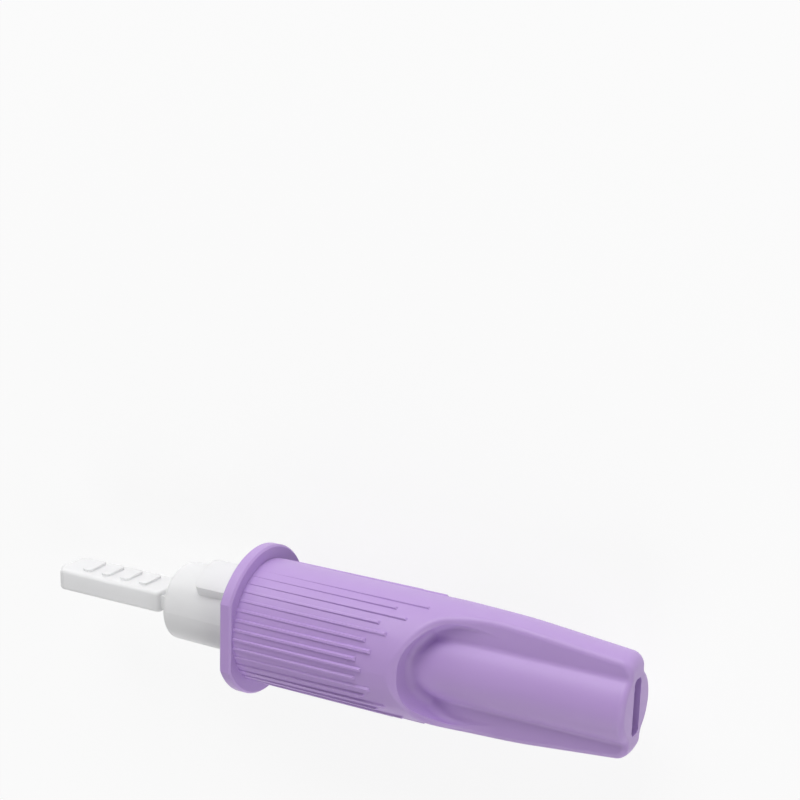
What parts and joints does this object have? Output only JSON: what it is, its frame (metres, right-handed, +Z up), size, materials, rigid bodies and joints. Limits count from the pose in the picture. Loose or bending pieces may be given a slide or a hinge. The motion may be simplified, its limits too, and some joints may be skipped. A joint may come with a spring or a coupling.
{
  "type": "safety lancet",
  "caption": "Single-use contact-activated safety lancet with ribbed flanged body, finger scoops, sliding sleeve and twist-off cap.",
  "frame": {"origin": "middle of the footprint, on the table that the lancet lies on", "axes": "+X along the lancet's axis from the cap to the rear face of the grip, +Z up, square to the finger scoops"},
  "size_m": [0.06, 0.014, 0.0124],
  "materials": {
    "body_plastic": "satin moulded purple plastic",
    "sleeve_plastic": "satin moulded white plastic",
    "carrier_plastic": "satin moulded white plastic",
    "cap_plastic": "satin moulded white plastic",
    "needle_steel": "polished stainless steel",
    "spring_steel": "drawn spring wire"
  },
  "bodies": {
    "body": {"body_shell": "body_plastic", "drive_spring": "spring_steel"},
    "sleeve": {"contact_sleeve": "sleeve_plastic"},
    "carrier": {"lancet_carrier": "carrier_plastic", "needle": "needle_steel", "return_spring": "spring_steel"},
    "cap": {"twist_off_cap": "cap_plastic"}
  },
  "joints": [
    {"name": "sleeve_press", "type": "slide", "parent": "body", "child": "sleeve", "axis": [1, 0, 0], "range_m": [0, 0.0035], "stiffness_N_per_m": 200, "deforming": ["return_spring"]},
    {"name": "lancet_fire", "type": "slide", "parent": "body", "child": "carrier", "axis": [-1, 0, 0], "range_m": [0, 0.004], "stiffness_N_per_m": 200, "deforming": ["drive_spring", "return_spring"]},
    {"name": "cap_pull", "type": "slide", "parent": "carrier", "child": "cap", "axis": [-1, 0, 0], "range_m": [0, 0.03]}
  ]
}
